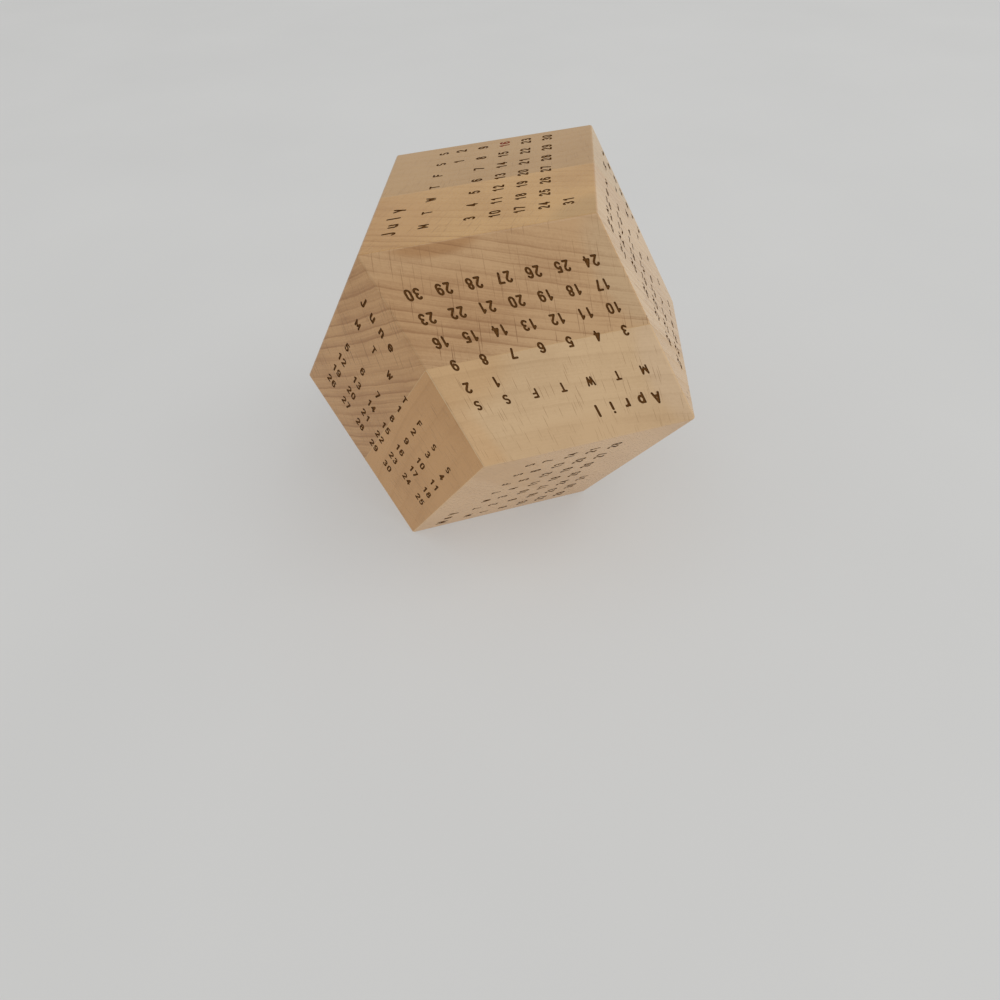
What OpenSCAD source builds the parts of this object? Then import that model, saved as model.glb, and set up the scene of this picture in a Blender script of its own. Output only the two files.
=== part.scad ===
// Twelve-sided desk calendar: a solid wooden block with twelve equal rhombic faces, one month on each.
// The block is sawn from a square bar that is glued up from three boards, a thick core between two
// thinner outer boards. It stands on any face, and the face on top shows the month.
//
// Frame: +Z up, origin at the middle of the face that it stands on. One face points to -Y, and the
// two sharpest corners lie along X, which is the longest extent.

/* [Block] */
// Distance between two opposite faces
across_faces = 80; // [60:1:100]
// Width of the narrow flat that eases every outer edge
edge_flat = 0.6; // [0.2:0.1:2]

/* [Lamination] */
// Thickness of the core board
core_t = 41; // [20:1:54]
// Thickness of the glue film on each side of the core
glue_t = 0.15; // [0.05:0.05:0.4]

/* [Hidden] */

// Angle inside the block between two faces that share an edge
edge_angle = 120;
// Cosine of the angle between the outward directions of two such faces
neighbour_cos = cos(180 - edge_angle);
// Room for rounding when directions are compared
direction_tol = 0.001;

// Unit directions of the six pairs of faces: top, front, and four slanted pairs
face_axes = [
    [0, 0, 1],
    [0, 1, 0],
    for (y = [-1, 1], z = [-1, 1]) [sqrt(2), y, z] / 2
];
// Outward directions of all twelve faces
face_directions = [for (side = [1, -1], axis = face_axes) side * axis];
// Directions from the centre of the block to the middle of its edges
edge_axes = [
    for (a = face_axes, b = face_directions)
        if (abs(a * b - neighbour_cos) < direction_tol) a + b
];

// Distance between two opposite edges when they are sharp, and after easing
across_sharp_edges = across_faces / sin(edge_angle / 2);
ease_depth = edge_flat / 2 / tan(edge_angle / 2);
across_edges = across_sharp_edges - 2 * ease_depth;

// The boards are stacked along this direction, so the outer ones end in a whole face each
board_axis = [-sqrt(2), 1, 1] / 2;
// Distances from the centre to the face of the core and to the outside of the bar
core_face = core_t / 2;
outer_face = across_faces / 2;

// Larger than the block in every direction
reach = 3 * across_faces;

upper_board_colour = [0.69, 0.57, 0.45];
core_board_colour = [0.66, 0.51, 0.37];
lower_board_colour = [0.76, 0.64, 0.50];
glue_colour = [0.58, 0.44, 0.30];

// Turns what points up so that it points along a direction
module along(direction) {
    rotate([0, acos(direction.z / norm(direction)), atan2(direction.y, direction.x)])
        children();
}

// The endless plate between two parallel planes, centred on the block
module plate(direction, thickness) {
    along(direction) cube([reach, reach, thickness], center = true);
}

// The whole block with its eased edges, standing on its base face
module block() {
    translate([0, 0, across_faces / 2])
        intersection() {
            intersection_for (axis = face_axes) plate(axis, across_faces);
            intersection_for (axis = edge_axes) plate(axis, across_edges);
        }
}

// The slice of the block between two distances from its centre, measured across the boards
module slice(low, high) {
    intersection() {
        block();
        translate([0, 0, across_faces / 2])
            along(board_axis)
                translate([-reach / 2, -reach / 2, low])
                    cube([reach, reach, high - low]);
    }
}

// Outer board behind the top face
module upper_board() {
    color(upper_board_colour) slice(core_face + glue_t, outer_face);
}

// Glue between the core and the upper board
module upper_glue_film() {
    color(glue_colour) slice(core_face, core_face + glue_t);
}

// Thick middle board
module core_board() {
    color(core_board_colour) slice(-core_face, core_face);
}

// Glue between the core and the lower board
module lower_glue_film() {
    color(glue_colour) slice(-core_face - glue_t, -core_face);
}

// Outer board under the overhanging front face
module lower_board() {
    color(lower_board_colour) slice(-outer_face, -core_face - glue_t);
}

upper_board();
upper_glue_film();
core_board();
lower_glue_film();
lower_board();
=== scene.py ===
from collections import namedtuple
from math import ceil, cos, radians, sin, sqrt

import bmesh
import bpy
import numpy as np
from mathutils import Matrix, Vector
from mathutils.geometry import tessellate_polygon


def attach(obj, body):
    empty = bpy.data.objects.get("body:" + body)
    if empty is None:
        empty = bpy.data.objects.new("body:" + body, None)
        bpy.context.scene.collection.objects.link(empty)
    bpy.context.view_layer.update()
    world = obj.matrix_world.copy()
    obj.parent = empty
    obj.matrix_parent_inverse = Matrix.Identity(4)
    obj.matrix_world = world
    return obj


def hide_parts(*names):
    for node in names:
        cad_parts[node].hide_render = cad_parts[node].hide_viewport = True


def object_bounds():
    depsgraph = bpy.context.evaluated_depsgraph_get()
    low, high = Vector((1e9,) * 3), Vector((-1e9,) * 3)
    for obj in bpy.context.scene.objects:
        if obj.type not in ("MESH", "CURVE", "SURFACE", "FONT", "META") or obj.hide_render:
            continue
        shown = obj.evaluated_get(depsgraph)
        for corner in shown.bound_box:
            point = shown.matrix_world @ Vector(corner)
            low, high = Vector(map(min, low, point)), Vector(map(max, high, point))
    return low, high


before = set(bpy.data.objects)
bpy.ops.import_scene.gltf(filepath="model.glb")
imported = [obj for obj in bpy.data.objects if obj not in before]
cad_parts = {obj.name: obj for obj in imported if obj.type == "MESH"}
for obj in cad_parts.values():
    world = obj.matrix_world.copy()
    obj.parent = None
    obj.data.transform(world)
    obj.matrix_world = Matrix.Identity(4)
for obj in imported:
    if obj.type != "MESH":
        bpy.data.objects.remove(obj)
cad_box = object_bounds()

# A wooden desk calendar: a block with twelve rhombic faces, glued up from three beech boards, with one
# month burnt into each face. Places are in metres in the part's frame. Sizes on a page are millimetres.

MM = 0.001

# The block, described in a cube frame where every face points half way between two axes
ACROSS = cad_box[1].z - cad_box[0].z
UNIT = ACROSS / (2 * sqrt(2))
CENTRE = Vector((0, 0, ACROSS / 2))
HALF_ROOT = sqrt(0.5)
CUBE_TO_PART = Matrix(((0, 1, 0), (-HALF_ROOT, 0, HALF_ROOT), (HALF_ROOT, 0, HALF_ROOT)))
EDGE_EASE = 0.35 * MM
EASE_STEPS = 3
ROUND_PROFILE = 0.5
# Faces that turn less than this are one flat face, and points nearer than this to a cut lie on it
FLAT_ANGLE = radians(1)
CUT_TOLERANCE = 1e-7

# The boards are stacked along one direction, and their fibres run along another
BOARD_AXIS = (CUBE_TO_PART @ Vector((0, -1, 1))).normalized()
FIBRE_AXIS = CUBE_TO_PART @ Vector((1, 0, 0))

# The calendar: a year that starts on a Sunday, with the direction of each month's face in the cube
# frame and the sharp corner of that face where the heading starts
WEEKDAYS = "MTWTFSS"
WEEK = len(WEEKDAYS)
FIRST_WEEKDAY = 6
MONTHS = (
    ("January", 31, (0, 1, 1), (0, 0, 2)),
    ("February", 28, (-1, 0, 1), (-2, 0, 0)),
    ("March", 31, (-1, 1, 0), (0, 2, 0)),
    ("April", 30, (1, 1, 0), (0, 2, 0)),
    ("May", 31, (0, 1, -1), (0, 0, -2)),
    ("June", 30, (1, 0, -1), (2, 0, 0)),
    ("July", 31, (1, 0, 1), (2, 0, 0)),
    ("August", 31, (1, -1, 0), (0, -2, 0)),
    ("September", 30, (0, -1, 1), (0, 0, 2)),
    ("October", 31, (-1, -1, 0), (0, -2, 0)),
    ("November", 30, (0, -1, -1), (0, 0, -2)),
    ("December", 31, (-1, 0, -1), (-2, 0, 0)),
)
FACES = {month: (CUBE_TO_PART @ Vector(direction)).normalized() for month, _, direction, _ in MONTHS}
RED_DATES = {("July", 16)}
# Places of the two materials of the letters in the list that their cutter holds
BURNT, RED = range(2)

# Layout of a page, in millimetres
COLUMN_PITCH = 6.2
ROW_PITCH = 5.03
HEADING_TO_WEEKDAYS = 6.6
WEEKDAYS_TO_DATES = 4.0
PAGE_MIDDLE = 21.9
HEADING_X = 5.3
HEADING_PITCH = 3.45
DIGIT_PITCH = 1.75
HEADING_HEIGHT = 2.85
WEEKDAY_HEIGHT = 2.2
DATE_HEIGHT = 2.45
BURN_DEPTH = 0.2
CUTTER_RISE = 0.3
# How far the page of a month sits off its usual place, along the reading direction and down
PAGE_SLIPS = {
    "January": (0.8, -1.6),
    "May": (-1.2, -0.3),
    "June": (0.6, 0.15),
    "July": (1.8, 0.6),
}
# The same for a heading beside its page, along the reading direction
HEADING_SLIPS = {"April": 0.8, "June": -0.4, "July": -0.3}

# The pen that draws the letters, as shares of the height of a capital between its centre lines
PEN_RADIUS = 0.122
GRID_STEP = 0.04
OUTLINE_TOLERANCE = 0.008
CAPITAL_MIDDLE = 0.5
# Degrees between the points of an arc, and the least square of a stroke's length that can be divided by
ARC_STEP = 15
TINY = 1e-12


def arc(x, y, width, height, start, end):
    """Points on an arc of an ellipse with those half axes, from one angle to another in degrees"""
    steps = max(2, ceil(abs(end - start) / ARC_STEP))
    angles = [radians(start + (end - start) * i / steps) for i in range(steps + 1)]
    return [(x + width * cos(a), y + height * sin(a)) for a in angles]


def ring(x, y, width, height):
    return arc(x, y, width, height, 0, 360)


def turned(strokes, width):
    """A letter turned half way round"""
    return [[(width - x, 1 - y) for x, y in stroke] for stroke in strokes]


SIX = [ring(0.23, 0.30, 0.23, 0.30), [(0, 0.30)] + arc(0.25, 0.70, 0.25, 0.30, 180, 35)]

# Pen strokes of a plain narrow bold alphabet. The base line is at 0 and the top of a capital at 1.
LETTERS = {
    "0": [arc(0.23, 0.72, 0.23, 0.28, 0, 180) + arc(0.23, 0.28, 0.23, 0.28, 180, 360) + [(0.46, 0.72)]],
    "1": [[(0, 0.76), (0.22, 1), (0.22, 0)]],
    "2": [arc(0.23, 0.74, 0.23, 0.26, 165, -35) + [(0, 0), (0.46, 0)]],
    "3": [arc(0.22, 0.76, 0.21, 0.24, 150, -90), arc(0.22, 0.26, 0.24, 0.26, 90, -150)],
    "4": [[(0.36, 0), (0.36, 1), (0, 0.27), (0.5, 0.27)]],
    "5": [[(0.43, 1), (0.07, 1), (0.03, 0.5)] + arc(0.21, 0.32, 0.25, 0.32, 130, -150)],
    "6": SIX,
    "7": [[(0, 1), (0.46, 1), (0.16, 0)]],
    "8": [ring(0.23, 0.77, 0.19, 0.23), ring(0.23, 0.27, 0.23, 0.27)],
    "9": turned(SIX, 0.46),
    "A": [[(0, 0), (0.3, 1), (0.6, 0)], [(0.1, 0.3), (0.5, 0.3)]],
    "D": [[(0, 0), (0, 1), (0.2, 1)] + arc(0.2, 0.5, 0.36, 0.5, 90, -90) + [(0, 0)]],
    "F": [[(0.46, 1), (0, 1), (0, 0)], [(0, 0.52), (0.4, 0.52)]],
    "J": [[(0.34, 1)] + arc(0.17, 0.2, 0.17, 0.2, 0, -165)],
    "M": [[(0, 0), (0, 1), (0.34, 0.2), (0.68, 1), (0.68, 0)]],
    "N": [[(0, 0), (0, 1), (0.54, 0), (0.54, 1)]],
    "O": [ring(0.32, 0.5, 0.32, 0.5)],
    "S": [arc(0.25, 0.75, 0.23, 0.25, 40, 270) + arc(0.25, 0.25, 0.25, 0.25, 90, -140)],
    "T": [[(0, 1), (0.54, 1)], [(0.27, 1), (0.27, 0)]],
    "W": [[(0, 1), (0.2, 0), (0.4, 0.9), (0.6, 0), (0.8, 1)]],
    "a": [arc(0.22, 0.46, 0.19, 0.2, 160, 0) + [(0.41, 0)], ring(0.2, 0.19, 0.2, 0.19)],
    "b": [[(0, 1), (0, 0)], ring(0.24, 0.33, 0.24, 0.33)],
    "c": [arc(0.25, 0.33, 0.25, 0.33, 45, 315)],
    "e": [[(0.02, 0.34), (0.49, 0.34)] + arc(0.25, 0.33, 0.25, 0.33, 5, 310)],
    "g": [ring(0.24, 0.33, 0.24, 0.33), [(0.48, 0.66)] + arc(0.25, -0.06, 0.23, 0.2, 0, -150)],
    "h": [[(0, 1), (0, 0)], arc(0.22, 0.44, 0.22, 0.22, 180, 0) + [(0.44, 0)]],
    "i": [[(0, 0.66), (0, 0)], [(0, 0.98), (0, 1)]],
    "l": [[(0, 1.04), (0, 0)]],
    "m": [
        [(0, 0.66), (0, 0)],
        arc(0.19, 0.47, 0.19, 0.19, 180, 0) + [(0.38, 0)],
        arc(0.57, 0.47, 0.19, 0.19, 180, 0) + [(0.76, 0)],
    ],
    "n": [[(0, 0.66), (0, 0)], arc(0.22, 0.44, 0.22, 0.22, 180, 0) + [(0.44, 0)]],
    "o": [ring(0.25, 0.33, 0.25, 0.33)],
    "p": [[(0, 0.66), (0, -0.26)], ring(0.24, 0.33, 0.24, 0.33)],
    "r": [[(0, 0.66), (0, 0)], arc(0.24, 0.42, 0.24, 0.24, 180, 75)],
    "s": [arc(0.19, 0.49, 0.18, 0.17, 40, 270) + arc(0.19, 0.165, 0.19, 0.165, 90, -140)],
    "t": [[(0.14, 0.9)] + arc(0.3, 0.16, 0.16, 0.16, 180, 280), [(0, 0.64), (0.34, 0.64)]],
    "u": [[(0, 0.66)] + arc(0.22, 0.22, 0.22, 0.22, 180, 360), [(0.44, 0.66), (0.44, 0)]],
    "v": [[(0, 0.66), (0.23, 0), (0.46, 0.66)]],
    "y": [[(0, 0.66), (0.24, 0.02)], [(0.46, 0.66), (0.17, -0.26)]],
}


def pen_distance(strokes, xs, ys):
    """Distance from each grid point to the nearest stroke"""
    points = np.stack(np.meshgrid(xs, ys, indexing="ij"), axis=-1)
    nearest = np.full(points.shape[:2], np.inf)
    for stroke in strokes:
        for start, end in zip(stroke, stroke[1:]):
            start, along = np.array(start), np.subtract(end, start)
            length_squared = max(along @ along, TINY)
            share = np.clip((points - start) @ along / length_squared, 0, 1)
            gap = points - start - share[..., None] * along
            nearest = np.minimum(nearest, np.linalg.norm(gap, axis=-1))
    return nearest


def contours(field, xs, ys):
    """Closed outlines of the places where a field is negative, with those places on the left"""
    points, follows = {}, {}

    def crossing(a, b):
        key = (min(a, b), max(a, b))
        if key not in points:
            share = field[a] / (field[a] - field[b])
            start = np.array((xs[a[0]], ys[a[1]]))
            end = np.array((xs[b[0]], ys[b[1]]))
            points[key] = start + share * (end - start)
        return key

    for i in range(len(xs) - 1):
        for j in range(len(ys) - 1):
            corners = [(i, j), (i + 1, j), (i + 1, j + 1), (i, j + 1)]
            walk = list(zip(corners, corners[1:] + corners[:1]))
            leaves = [k for k, (a, b) in enumerate(walk) if field[a] < 0 <= field[b]]
            enters = [k for k, (a, b) in enumerate(walk) if field[b] < 0 <= field[a]]
            for k in leaves:
                back = min(enters, key=lambda e: (e - k) % len(walk))
                follows[crossing(*walk[k])] = crossing(*walk[back])

    loops = []
    while follows:
        key, after = follows.popitem()
        loop = [points[key]]
        while after in follows:
            loop.append(points[after])
            after = follows.pop(after)
        loops.append(np.array(loop))
    return loops


def thinned(run):
    """The points of an open run that its shape needs"""
    chord = run[-1] - run[0]
    offset = run - run[0]
    if np.linalg.norm(chord) > 0:
        normal = np.array((-chord[1], chord[0])) / np.linalg.norm(chord)
        away = np.abs(offset @ normal)
    else:
        away = np.linalg.norm(offset, axis=1)
    far = int(away.argmax())
    if away[far] < OUTLINE_TOLERANCE:
        return [run[0], run[-1]]
    return thinned(run[: far + 1])[:-1] + thinned(run[far:])


def islands(loops):
    """The separate parts of a letter, each an outer outline with its holes

    All holes go to the first part, because a letter with holes has only one.
    """
    def area(loop):
        x, y = loop.T
        return x @ np.roll(y, -1) - y @ np.roll(x, -1)

    parts = [[loop] for loop in loops if area(loop) > 0]
    parts[0] += [loop for loop in loops if area(loop) < 0]
    return parts


def letter_shape(letter):
    """Outline points of a letter about its middle, its triangles and the edges of its outline"""
    strokes = LETTERS[letter]
    across = [x for stroke in strokes for x, y in stroke]
    up = [y for stroke in strokes for x, y in stroke]
    margin = PEN_RADIUS + 2 * GRID_STEP
    xs = np.arange(min(across) - margin, max(across) + margin + GRID_STEP, GRID_STEP)
    ys = np.arange(min(up) - margin, max(up) + margin + GRID_STEP, GRID_STEP)
    field = pen_distance(strokes, xs, ys) - PEN_RADIUS
    middle = np.array(((min(across) + max(across)) / 2, CAPITAL_MIDDLE))
    loops = [np.array(thinned(np.vstack((loop, loop[:1])))[:-1]) for loop in contours(field, xs, ys)]
    points, triangles, edges = np.empty((0, 2)), [], []
    for group in islands(loops):
        base = len(points)
        for loop in group:
            start, count = len(points), len(loop)
            edges += [(start + i, start + (i + 1) % count) for i in range(count)]
            points = np.vstack((points, loop))
        for corners in tessellate_polygon([[Vector((x, y, 0)) for x, y in loop] for loop in group]):
            a, b, c = (base + corner for corner in corners)
            turn = np.cross(points[b] - points[a], points[c] - points[a])
            triangles.append((a, b, c) if turn > 0 else (a, c, b))
    return points - middle, triangles, edges


class Page:
    """A face of the block as a page: x runs along the reading direction and y down the leaning columns"""

    def __init__(self, direction, corner):
        direction, corner = Vector(direction), Vector(corner)
        spine = Vector(1 - abs(share) for share in direction)
        reading, down = direction + spine - corner, direction - spine - corner
        if reading.cross(down).dot(direction) > 0:
            reading, down = down, reading
        self.width = reading.length * UNIT / MM
        lean = reading.angle(down)
        self.origin = CENTRE + CUBE_TO_PART @ corner * UNIT
        self.along = (CUBE_TO_PART @ reading).normalized() * MM
        self.down = (CUBE_TO_PART @ down).normalized() * MM / sin(lean)
        self.out = (CUBE_TO_PART @ direction).normalized() * MM

    def points(self, flat, height):
        """Points in the part's frame for places on the page, raised by a height"""
        basis = np.array((self.along, self.down))
        return np.array(self.origin) + flat @ basis + height * np.array(self.out)


class Cutter:
    """Closed prisms in the shape of the letters, which cut the burnt lines into the boards"""

    def __init__(self):
        self.points, self.faces, self.materials = [], [], []
        self.shapes = {letter: letter_shape(letter) for letter in LETTERS}

    def letter(self, page, letter, x, y, height, material=BURNT):
        """Adds the prism of a letter, with its middle at that place on the page"""
        shape, triangles, edges = self.shapes[letter]
        flat = np.array((x, y)) + shape * (height / (1 + 2 * PEN_RADIUS)) * np.array((1, -1))
        low = sum(len(points) for points in self.points)
        high = low + len(flat)
        self.points += [page.points(flat, -BURN_DEPTH), page.points(flat, CUTTER_RISE)]
        faces = [(high + a, high + b, high + c) for a, b, c in triangles]
        faces += [(low + a, low + c, low + b) for a, b, c in triangles]
        faces += [(low + a, low + b, high + b, high + a) for a, b in edges]
        self.faces += faces
        self.materials += [material] * len(faces)

    def month(self, name, days, first_weekday, page):
        """Adds the heading, the weekdays and the dates of a month"""
        rows = ceil((first_weekday + days) / WEEK)
        height = HEADING_TO_WEEKDAYS + WEEKDAYS_TO_DATES + (rows - 1) * ROW_PITCH
        slip_x, slip_y = PAGE_SLIPS.get(name, (0, 0))
        heading_x = HEADING_X + slip_x + HEADING_SLIPS.get(name, 0)
        heading_y = PAGE_MIDDLE + slip_y - height / 2
        weekday_y = heading_y + HEADING_TO_WEEKDAYS
        columns = [page.width / 2 + slip_x + (k - (WEEK - 1) / 2) * COLUMN_PITCH for k in range(WEEK)]
        for k, letter in enumerate(name):
            self.letter(page, letter, heading_x + k * HEADING_PITCH, heading_y, HEADING_HEIGHT)
        for x, letter in zip(columns, WEEKDAYS):
            self.letter(page, letter, x, weekday_y, WEEKDAY_HEIGHT)
        for day in range(1, days + 1):
            row, column = divmod(first_weekday + day - 1, WEEK)
            y = weekday_y + WEEKDAYS_TO_DATES + row * ROW_PITCH
            material = RED if (name, day) in RED_DATES else BURNT
            digits = str(day)
            for k, digit in enumerate(digits):
                x = columns[column] + (k - (len(digits) - 1) / 2) * DIGIT_PITCH
                self.letter(page, digit, x, y, DATE_HEIGHT, material)

    def object(self, materials):
        """All prisms as one object"""
        mesh = bpy.data.meshes.new("burnt_letters")
        mesh.from_pydata(np.vstack(self.points).tolist(), [], self.faces)
        for material in materials:
            mesh.materials.append(material)
        mesh.polygons.foreach_set("material_index", self.materials)
        cutter = bpy.data.objects.new("burnt_letters", mesh)
        bpy.context.scene.collection.objects.link(cutter)
        return cutter


def eased_block():
    """The whole block with rounded edges"""
    block = bmesh.new()
    signs = (-1, 1)
    corners = [Vector((x, y, z)) for x in signs for y in signs for z in signs]
    tips = [Vector(2 * sign * share for share in axis) for axis in Matrix.Identity(3) for sign in signs]
    for corner in corners + tips:
        block.verts.new(CENTRE + CUBE_TO_PART @ corner * UNIT)
    bmesh.ops.convex_hull(block, input=block.verts)
    bmesh.ops.dissolve_limit(block, angle_limit=FLAT_ANGLE, verts=block.verts, edges=block.edges)
    bmesh.ops.bevel(
        block, geom=block.edges[:], offset=EDGE_EASE, offset_type="OFFSET",
        segments=EASE_STEPS, profile=ROUND_PROFILE, affect="EDGES",
    )
    bmesh.ops.recalc_face_normals(block, faces=block.faces)
    return block


def board_span(node):
    """Lowest and highest place of a node along the direction in which the boards are stacked"""
    places = [vertex.co.dot(BOARD_AXIS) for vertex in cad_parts[node].data.vertices]
    return min(places), max(places)


def sliced(block, node):
    """The slice of the block that a node takes up, as a closed mesh"""
    low, high = board_span(node)
    piece = block.copy()
    for place, outward in ((low, -BOARD_AXIS), (high, BOARD_AXIS)):
        cut = bmesh.ops.bisect_plane(
            piece, geom=piece.verts[:] + piece.edges[:] + piece.faces[:], dist=CUT_TOLERANCE,
            plane_co=BOARD_AXIS * place, plane_no=outward, clear_outer=True,
        )
        rim = [part for part in cut["geom_cut"] if isinstance(part, bmesh.types.BMEdge)]
        if rim:
            bmesh.ops.contextual_create(piece, geom=rim)
    bmesh.ops.recalc_face_normals(piece, faces=piece.faces)
    mesh = bpy.data.meshes.new(node)
    piece.to_mesh(mesh)
    piece.free()
    return mesh


def burnt(mesh, name, cutter, material):
    """An object of that mesh with the letters cut out of it"""
    mesh.materials.append(material)
    piece = bpy.data.objects.new(name, mesh)
    bpy.context.scene.collection.objects.link(piece)
    cut = piece.modifiers.new("burnt_letters", "BOOLEAN")
    cut.object = cutter
    cut.operation = "DIFFERENCE"
    cut.solver = "MANIFOLD"
    cut.material_mode = "TRANSFER"
    evaluated = piece.evaluated_get(bpy.context.evaluated_depsgraph_get())
    piece.data = bpy.data.meshes.new_from_object(evaluated)
    piece.modifiers.clear()
    piece.data.name = name
    return piece


# Noise lies about its middle, and seldom leaves this range
NOISE_MIDDLE = 0.5
NOISE_RANGE = (0.3, 0.7)
# A narrower range, which makes spots with clearer borders
SPOT_RANGE = (0.35, 0.65)
# Places of a mix node's sockets for colours, which come after those for numbers and vectors
MIX_SHARE, MIX_A, MIX_B, MIX_RESULT = 0, 6, 7, 2


class Nodes:
    """A short way to write shader nodes"""

    def __init__(self, name):
        self.material = bpy.data.materials.new(name)
        self.material.use_nodes = True
        self.tree = self.material.node_tree
        self.surface = self.tree.nodes["Principled BSDF"]

    def set(self, socket, value):
        """Links another node to a socket or gives it a value, which for a colour has three shares"""
        if isinstance(value, bpy.types.NodeSocket):
            self.tree.links.new(value, socket)
        elif socket.type == "RGBA":
            socket.default_value = (*value, 1)
        else:
            socket.default_value = value

    def node(self, kind, inputs=(), **settings):
        made = self.tree.nodes.new("ShaderNode" + kind)
        for key, value in settings.items():
            setattr(made, key, value)
        for key, value in dict(inputs).items():
            self.set(made.inputs[key], value)
        return made

    def math(self, operation, a, b=0.0, c=0.0):
        return self.node("Math", {0: a, 1: b, 2: c}, operation=operation).outputs[0]

    def vector(self, operation, a, b=(0, 0, 0)):
        made = self.node("VectorMath", {0: a, 1: b}, operation=operation)
        return made.outputs["Value" if operation in ("DOT_PRODUCT", "LENGTH") else "Vector"]

    def span(self, value, low, high, to_low=0.0, to_high=1.0, smooth=False):
        """A value moved from one range to another"""
        kind = "SMOOTHSTEP" if smooth else "LINEAR"
        inputs = {0: value, 1: low, 2: high, 3: to_low, 4: to_high}
        return self.node("MapRange", inputs, interpolation_type=kind).outputs[0]

    def mix(self, share, a, b, blend="MIX"):
        made = self.node("Mix", data_type="RGBA", blend_type=blend)
        for index, value in ((MIX_SHARE, share), (MIX_A, a), (MIX_B, b)):
            self.set(made.inputs[index], value)
        return made.outputs[MIX_RESULT]

    def noise(self, place, scale, detail):
        inputs = {"Vector": place, "Scale": scale, "Detail": detail}
        return self.node("TexNoise", inputs).outputs["Fac"]

    def grain(self, place, size):
        """Noise whose waves have that size along each axis"""
        return self.noise(self.vector("DIVIDE", place, size), 1.0, 2.0)

    def in_millimetres(self, place):
        return self.vector("MULTIPLY", place, (1 / MM,) * 3)

    def drifted(self, place, stretch, length, height, detail):
        """Places pushed about by waves of that length and height, across the fibres only"""
        inputs = {"Vector": self.vector("MULTIPLY", place, stretch), "Scale": 1 / length, "Detail": detail}
        waves = self.node("TexNoise", inputs).outputs["Color"]
        push = self.vector("SUBTRACT", waves, (NOISE_MIDDLE,) * 3)
        push = self.vector("MULTIPLY", push, (2 * height, 2 * height, 0))
        return self.vector("ADD", place, push)

    def polar(self, place, reach):
        """Distance from the pith, length around it at a typical reach, and length along the fibres"""
        parts = self.node("SeparateXYZ", {0: place}).outputs
        out = self.vector("LENGTH", self.vector("MULTIPLY", place, (1, 1, 0)))
        around = self.math("MULTIPLY", self.math("ARCTAN2", parts["Y"], parts["X"]), reach)
        return self.node("CombineXYZ", {"X": out, "Y": around, "Z": parts["Z"]}).outputs[0]

    def finish(self, **sockets):
        for key, value in sockets.items():
            self.set(self.surface.inputs[key.replace("_", " ")], value)
        return self.material


# Wood, in millimetres: outwards from the pith, around it and along the fibres
# Waves and ripples that bend the rings
WAVES = {"stretch": (1, 1, 0.3), "length": 40.0, "height": 0.9, "detail": 2.0}
RIPPLES = {"stretch": (1, 1, 0.2), "length": 5.0, "height": 0.3, "detail": 5.0}
# Ring widths wander by some rings, with this many waves of the wandering in each ring
RING_WANDER = 1.9
RING_WANDER_RATE = 0.3
# Within a ring, from 0 to 1: late wood darkens outwards and then stops, with a thin line near its end
LATE_WOOD_POWER = 2.6
LATE_WOOD_STOP = (1.0, 0.91)
LATE_WOOD_SHARE = 0.85
LINE_START = (0.80, 0.93)
LINE_STOP = (1.0, 0.95)
LINE_SHARE = 0.35
# The faintest and the strongest ring
RING_STRENGTHS = (0.4, 1.1)
# How far from the middle of the block, towards the pith, the figure starts and ends to fade
FADE_START = 2.0
FADE_END = 16.0
# Fine lines beside the rings, streaks and pores along the fibres, and broad patches, with their tones
FINE_LINE_SIZE = (0.3, 12.0, 12.0)
FINE_LINE_TONES = (-0.25, 0.25)
STREAK_SIZE = (0.5, 0.5, 18.0)
STREAK_TONES = (-0.1, 0.14)
PORE_SIZE = (0.16, 0.16, 1.6)
PORE_TONES = (-0.1, 0.14)
PATCH_SIZE = (14.0, 14.0, 45.0)
PATCH_TONES = (-0.2, 0.4)
# A zone fades out over this range of its half widths, more or less so where the wood is patchy, and over
# this range of the cosine between a surface and the face that the zone is on
ZONE_FADE = (1.1, 0.6)
ZONE_RAGGEDNESS = 0.4
ZONE_FACING = (0.88, 0.98)
# How much darker the wood is where it is cut square across the fibres
END_GRAIN_SHADE = 0.24
# A ray is a thin ribbon that runs outwards: the room that each has both ways, the shares of that room where
# it starts to show and shows in full, and how strong the faintest one is beside the strongest
RAY_ROOM = (26.0, 0.28)
RAY_EDGE = (0.27, 0.135)
FAINTEST_RAY = 0.1
RAY_COLOUR = (0.26, 0.125, 0.05)
# How deep rays and pores are, in shares of the relief
RAY_DEPTH = 0.5
PORE_DEPTH = 0.6
RELIEF = 0.05 * MM
# The range of pores and rings together that the range of roughness is spread over
ROUGH_FIGURE = (0.3, 1.5)
ROUGHNESS = (0.26, 0.38)

# A zone of another tone on the face of a month, either a tone of the wood or painted light and shade on that
# face: what its colour is multiplied by, its middle, in millimetres from the middle of the block, along the
# stack of boards and square to it, and its half widths both ways.
# Without a middle and half widths it takes in the whole face; these whole-face zones are painted light and
# shade.
Zone = namedtuple("Zone", "month tint middle reach", defaults=((0, 0), (150, 150)))


def from_pith(n, place, pith):
    """Millimetres from the pith: along the stack of boards, square to it and along the fibres"""
    turn = Matrix((BOARD_AXIS, FIBRE_AXIS.cross(BOARD_AXIS), FIBRE_AXIS))
    shift = turn @ CENTRE + Vector((*pith, 0)) * MM
    inputs = {"Vector": place, "Rotation": turn.to_euler(), "Location": -shift}
    return n.in_millimetres(n.node("Mapping", inputs).outputs[0])


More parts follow.
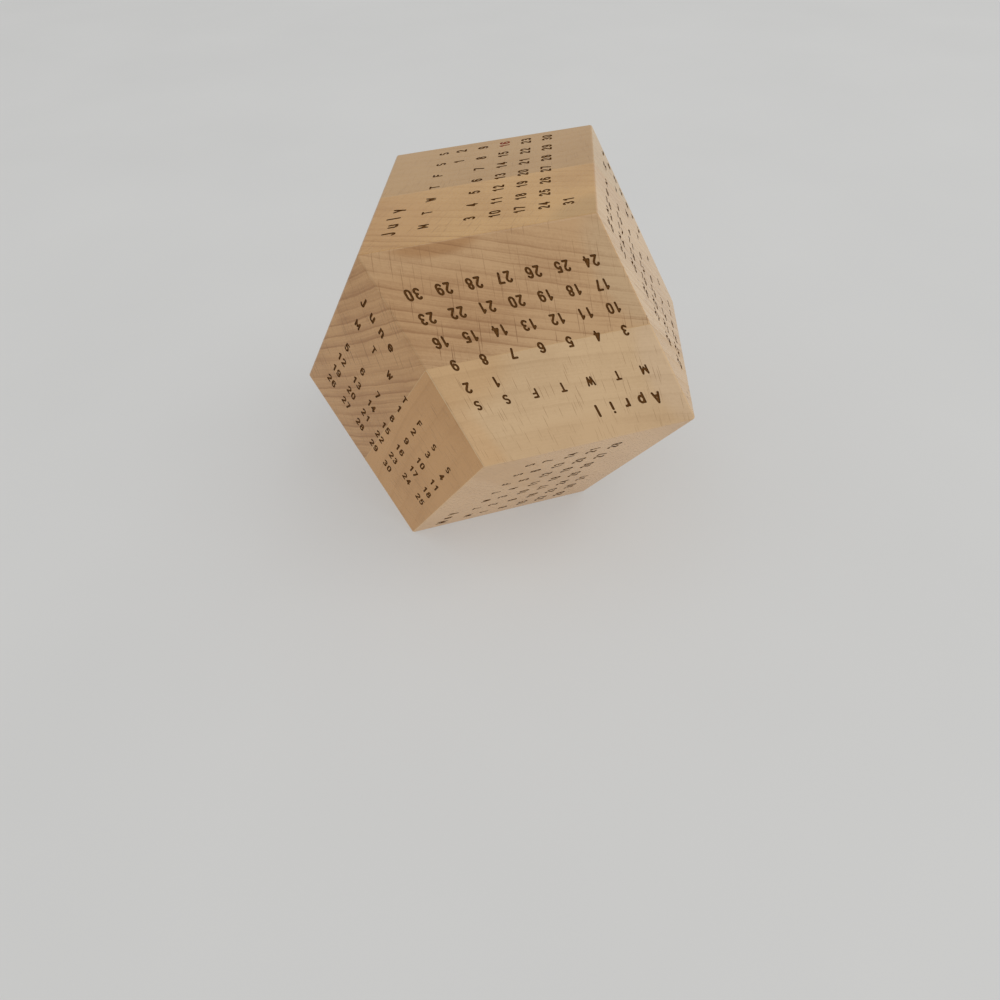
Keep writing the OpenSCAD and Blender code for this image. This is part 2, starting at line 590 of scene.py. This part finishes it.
def growth_rings(n, radius, ring_width):
    """How late the wood is within its ring, and a random share for each ring"""
    along = n.node("CombineXYZ", {"X": n.math("MULTIPLY", radius, RING_WANDER_RATE / ring_width)}).outputs[0]
    wander = n.math("MULTIPLY", n.noise(along, 1.0, 1.0), RING_WANDER)
    count = n.math("ADD", n.math("DIVIDE", radius, ring_width), wander)
    growth = n.math("FRACT", count)
    year = n.node("TexWhiteNoise", {"W": n.math("FLOOR", count)}, noise_dimensions="1D").outputs["Value"]
    late = n.math("POWER", growth, LATE_WOOD_POWER)
    late = n.math("MULTIPLY", late, n.span(growth, *LATE_WOOD_STOP, smooth=True))
    line = n.span(growth, *LINE_START, smooth=True)
    line = n.math("MULTIPLY", line, n.span(growth, *LINE_STOP, smooth=True))
    return n.math("MULTIPLY_ADD", line, LINE_SHARE, n.math("MULTIPLY", late, LATE_WOOD_SHARE)), year


def tinted(n, colour, tone_and_light_zones, place, pith, patch, normal):
    """A colour with its zones of another tone, some of which are painted light and shade on a face"""
    for month, tint, middle, reach in tone_and_light_zones:
        away = n.vector("SUBTRACT", place, (middle[0] - pith[0], middle[1] - pith[1], 0))
        away = n.vector("LENGTH", n.vector("MULTIPLY", away, (1 / reach[0], 1 / reach[1], 0)))
        away = n.math("MULTIPLY_ADD", n.math("SUBTRACT", patch, NOISE_MIDDLE), ZONE_RAGGEDNESS, away)
        facing = n.span(n.vector("DOT_PRODUCT", normal, FACES[month]), *ZONE_FACING)
        share = n.math("MULTIPLY", n.span(away, *ZONE_FADE, smooth=True), facing)
        colour = n.mix(share, colour, tint, "MULTIPLY")
    return colour


def end_shaded(n, colour, normal):
    """A colour that is darker on end grain"""
    cut = n.vector("DOT_PRODUCT", normal, FIBRE_AXIS)
    shade = n.math("MULTIPLY_ADD", n.math("MULTIPLY", cut, cut), -END_GRAIN_SHADE, 1.0)
    return n.node("VectorMath", {0: colour, "Scale": shade}, operation="SCALE").outputs["Vector"]


def ray_ribbons(n, polar, room):
    """Where rays show, and a random share for each ray"""
    cells = n.node("TexVoronoi", {"Vector": n.vector("DIVIDE", polar, room), "Scale": 1.0}).outputs
    chance = n.node("SeparateXYZ", {0: cells["Color"]}).outputs["X"]
    return n.span(cells["Distance"], *RAY_EDGE, smooth=True), chance


def beech(name, pith, ring_width, pale, late, figure, calm, rays, ray_length, tone_and_light_zones):
    """Beech with growth rings around a pith line, rays, long streaks, pores, and zones of another tone, some
    of them painted light and shade

    The pith is a place across the fibres, in millimetres from the middle of the block: along the stack of
    boards and square to it. Figure is how strongly the rings show, calm is the same nearer the pith, and
    rays is how strongly these show. Ray length is the room along the fibres that each ray has.
    """
    n = Nodes(name)
    source = n.node("TexCoord").outputs
    place = from_pith(n, source["Object"], pith)
    reach = Vector(pith).length
    waved = n.drifted(place, **WAVES)
    rippled = n.polar(n.drifted(waved, **RIPPLES), reach)
    radius = n.node("SeparateXYZ", {0: rippled}).outputs["X"]
    shown = n.span(radius, reach - FADE_END, reach - FADE_START, calm, figure, smooth=True)

    edge, year = growth_rings(n, radius, ring_width)
    ring = n.math("MULTIPLY", edge, n.span(year, 0, 1, *RING_STRENGTHS))
    patch = n.grain(place, PATCH_SIZE)
    streak = n.grain(waved, STREAK_SIZE)
    pores = n.grain(waved, PORE_SIZE)
    fine = n.span(n.grain(rippled, FINE_LINE_SIZE), *NOISE_RANGE, *FINE_LINE_TONES)
    tone = n.math("MULTIPLY_ADD", fine, shown, n.math("MULTIPLY", ring, shown))
    for grain, tones in ((patch, PATCH_TONES), (streak, STREAK_TONES), (pores, PORE_TONES)):
        tone = n.math("ADD", tone, n.span(grain, *NOISE_RANGE, *tones))
    colour = n.mix(tone, pale, late)
    colour = tinted(n, colour, tone_and_light_zones, place, pith, patch, source["Normal"])
    colour = end_shaded(n, colour, source["Normal"])

    ribbon, chance = ray_ribbons(n, n.polar(waved, reach), (*RAY_ROOM, ray_length))
    strength = n.span(chance, 0, 1, FAINTEST_RAY * rays, rays)
    strength = n.math("MULTIPLY", strength, n.math("DIVIDE", shown, figure))
    colour = n.mix(n.math("MULTIPLY", ribbon, strength), colour, RAY_COLOUR)

    height = n.math("MULTIPLY_ADD", ribbon, -RAY_DEPTH, n.math("MULTIPLY", pores, -PORE_DEPTH))
    bump = n.node("Bump", {"Height": height, "Strength": 0.15, "Distance": RELIEF})
    rough = n.span(n.math("ADD", pores, edge), *ROUGH_FIGURE, *ROUGHNESS)
    return n.finish(
        Base_Color=colour, Roughness=rough, Normal=bump.outputs[0], Specular_IOR_Level=0.3,
        Coat_Weight=0.08, Coat_Roughness=0.1,
    )


def char(name, deep, light):
    """Wood scorched by a beam, with an uneven sooty floor"""
    n = Nodes(name)
    soot = n.noise(n.in_millimetres(n.node("TexCoord").outputs["Object"]), scale=3.0, detail=3.0)
    colour = n.mix(n.span(soot, *SPOT_RANGE), deep, light)
    bump = n.node("Bump", {"Height": soot, "Strength": 0.4, "Distance": RELIEF})
    return n.finish(Base_Color=colour, Roughness=0.85, Normal=bump.outputs[0], Specular_IOR_Level=0.1)


def dried_glue(name):
    n = Nodes(name)
    place = n.in_millimetres(n.node("TexCoord").outputs["Object"])
    mottle = n.span(n.noise(place, scale=0.8, detail=3.0), *SPOT_RANGE)
    colour = n.mix(mottle, (0.60, 0.385, 0.19), (0.68, 0.44, 0.225))
    return n.finish(Base_Color=colour, Roughness=n.span(mottle, 0, 1, 0.45, 0.6), Specular_IOR_Level=0.35)


def floor_cloth(name):
    """Pale cloth with a glow of its own, which softens the shadow of the block"""
    n = Nodes(name)
    mottle = n.noise(n.node("TexCoord").outputs["Object"], scale=9.0, detail=3.0)
    colour = n.mix(n.span(mottle, *NOISE_RANGE), (0.405, 0.41, 0.405), (0.43, 0.435, 0.43))
    return n.finish(
        Base_Color=colour, Roughness=0.9, Specular_IOR_Level=0.15,
        Emission_Color=(1, 1, 1), Emission_Strength=0.28,
    )


# The boards, the glue between them, and their pages
boards = {
    "upper_board": beech(
        "upper_beech", pith=(150, -20), ring_width=2.6,
        pale=(0.675, 0.44, 0.225), late=(0.555, 0.343, 0.165),
        figure=0.3, calm=0.3, rays=0.45, ray_length=5.0,
        tone_and_light_zones=(
            # Painted light: the whole July face on top is tinted warmer, standing in for warmer light on it
            Zone("July", (0.96, 0.93, 0.86)),
            # Painted sheen: the whole January face is paler and bluer, standing in for the pale reflection
            # on it
            Zone("January", (1.12, 1.23, 1.38)),
        ),
    ),
    "core_board": beech(
        "core_beech", pith=(368, -156), ring_width=2.15,
        pale=(0.715, 0.452, 0.236), late=(0.507, 0.284, 0.136),
        figure=1.0, calm=0.3, rays=1.0, ray_length=7.0,
        tone_and_light_zones=(
            Zone("April", (0.94, 0.90, 0.86), (-11.5, -4), (8.5, 20)),
            Zone("April", (0.80, 0.70, 0.60), (0, -12), (2.6, 8)),
            # Painted light: bluer near the April face's edge with the January face, standing in for cool
            # light and sheen there
            Zone("April", (1.0, 1.08, 1.18), (-10, -40), (12, 6)),
            # Painted shade: the whole June face is darker and warmer, standing in for the dim warm light on
            # it
            Zone("June", (0.985, 0.905, 0.79)),
            # Painted light: the whole July face on top is tinted warmer, standing in for warmer light on it
            Zone("July", (1.07, 1.03, 0.82)),
            Zone("July", (0.91, 0.87, 0.86), (7, 2), (17, 16)),
            Zone("July", (0.85, 0.87, 0.90), (0, -40), (8, 9)),
            # Painted sheen: the whole January face is paler and bluer, standing in for the pale reflection
            # on it
            Zone("January", (1.15, 1.26, 1.36)),
        ),
    ),
    "lower_board": beech(
        "lower_beech", pith=(-260, 0), ring_width=4.4,
        pale=(0.84, 0.585, 0.335), late=(0.687, 0.458, 0.252),
        figure=0.45, calm=0.45, rays=0.6, ray_length=4.5,
        tone_and_light_zones=(
            Zone("April", (0.93, 0.86, 0.77), (-20, -2), (10, 14)),
            Zone("April", (0.98, 0.92, 0.85), (-40, 0), (15, 5)),
            Zone("April", (0.96, 0.94, 0.92), (-40, -20), (6, 24)),
            # Painted light: bluer near the April face's edge with the January face, standing in for cool
            # light and sheen there
            Zone("April", (1.0, 1.03, 1.12), (-30, -40), (14, 6)),
            # Painted shade: the whole June face is darker and warmer, standing in for the dim warm light on
            # it
            Zone("June", (0.865, 0.70, 0.52)),
            # Painted shade: the whole downward-facing May face is darker and warmer, standing in for less
            # light on it
            Zone("May", (0.93, 0.87, 0.82)),
            # Painted shade: the January face is darker and warmer on this board, standing in for its weaker
            # reflection near the floor
            Zone("January", (0.90, 0.85, 0.76)),
        ),
    ),
}
glue = dried_glue("wood_glue")
burn = char("burnt_lines", (0.115, 0.043, 0.008), (0.17, 0.075, 0.02))
red = char("red_date", (0.32, 0.06, 0.035), (0.42, 0.10, 0.06))

cutter = Cutter()
weekday = FIRST_WEEKDAY
for month, days, direction, corner in MONTHS:
    cutter.month(month, days, weekday, Page(direction, corner))
    weekday = (weekday + days) % WEEK
letters = cutter.object((burn, red))

block = eased_block()
for node, slot in (
    ("upper_board", "upper_beech"),
    ("upper_glue_film", "wood_glue"),
    ("core_board", "core_beech"),
    ("lower_glue_film", "wood_glue"),
    ("lower_board", "lower_beech"),
):
    piece = burnt(sliced(block, node), "marked_" + node, letters, boards.get(node, glue))
    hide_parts(node)
    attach(piece, "root")
block.free()
bpy.data.objects.remove(letters)

# Floor, light and camera
FLOOR_SIZE = 6.0
# Name, place, width, watts and colour of each light
LIGHTS = (
    ("window", (0.7, 0.3, 1.2), 1.0, 3.6, (1.0, 0.99, 0.97)),
    ("fill", (1.2, -0.6, 0.3), 0.8, 0.3, (0.85, 0.94, 1.0)),
    ("room", (-0.5, -1.2, 0.35), 0.8, 0.4, (1.0, 0.88, 0.70)),
)
SKY_COLOUR = (1.0, 0.99, 0.975)
SKY_STRENGTH = 0.58
CAMERA_PLACE = Vector((0.1056, -0.1226, 0.1466))
CAMERA_TARGET = Vector((0.0114, -0.0166, 0))
CAMERA_ROLL = radians(3.96)
CAMERA_LENS = 26.27
CAMERA_CLIP_START = 0.005
SENSOR_WIDTH = 36.0


def floor():
    mesh = bpy.data.meshes.new("floor")
    half = FLOOR_SIZE / 2
    corners = [(-half, -half, 0), (half, -half, 0), (half, half, 0), (-half, half, 0)]
    mesh.from_pydata(corners, [], [(0, 1, 2, 3)])
    mesh.materials.append(floor_cloth("floor_cloth"))
    made = bpy.data.objects.new("floor", mesh)
    bpy.context.scene.collection.objects.link(made)


def area_light(name, place, width, watts, colour):
    """A round lamp that points at the middle of the block"""
    light = bpy.data.lights.new(name, "AREA")
    light.shape = "DISK"
    light.size = width
    light.energy = watts
    light.color = colour
    made = bpy.data.objects.new(name, light)
    made.location = place
    made.rotation_euler = (CENTRE - Vector(place)).to_track_quat("-Z", "Y").to_euler()
    bpy.context.scene.collection.objects.link(made)


def sky():
    world = bpy.data.worlds.new("studio")
    world.use_nodes = True
    background = world.node_tree.nodes["Background"].inputs
    background["Color"].default_value = (*SKY_COLOUR, 1)
    background["Strength"].default_value = SKY_STRENGTH
    bpy.context.scene.world = world


def camera():
    data = bpy.data.cameras.new("camera")
    data.lens = CAMERA_LENS
    data.sensor_width = SENSOR_WIDTH
    data.clip_start = CAMERA_CLIP_START
    made = bpy.data.objects.new("camera", data)
    aim = (CAMERA_TARGET - CAMERA_PLACE).to_track_quat("-Z", "Y").to_matrix()
    turn = aim @ Matrix.Rotation(-CAMERA_ROLL, 3, "Z")
    made.matrix_world = Matrix.Translation(CAMERA_PLACE) @ turn.to_4x4()
    bpy.context.scene.collection.objects.link(made)
    bpy.context.scene.camera = made


floor()
for light in LIGHTS:
    area_light(*light)
sky()
camera()
bpy.context.scene.view_settings.view_transform = "Standard"
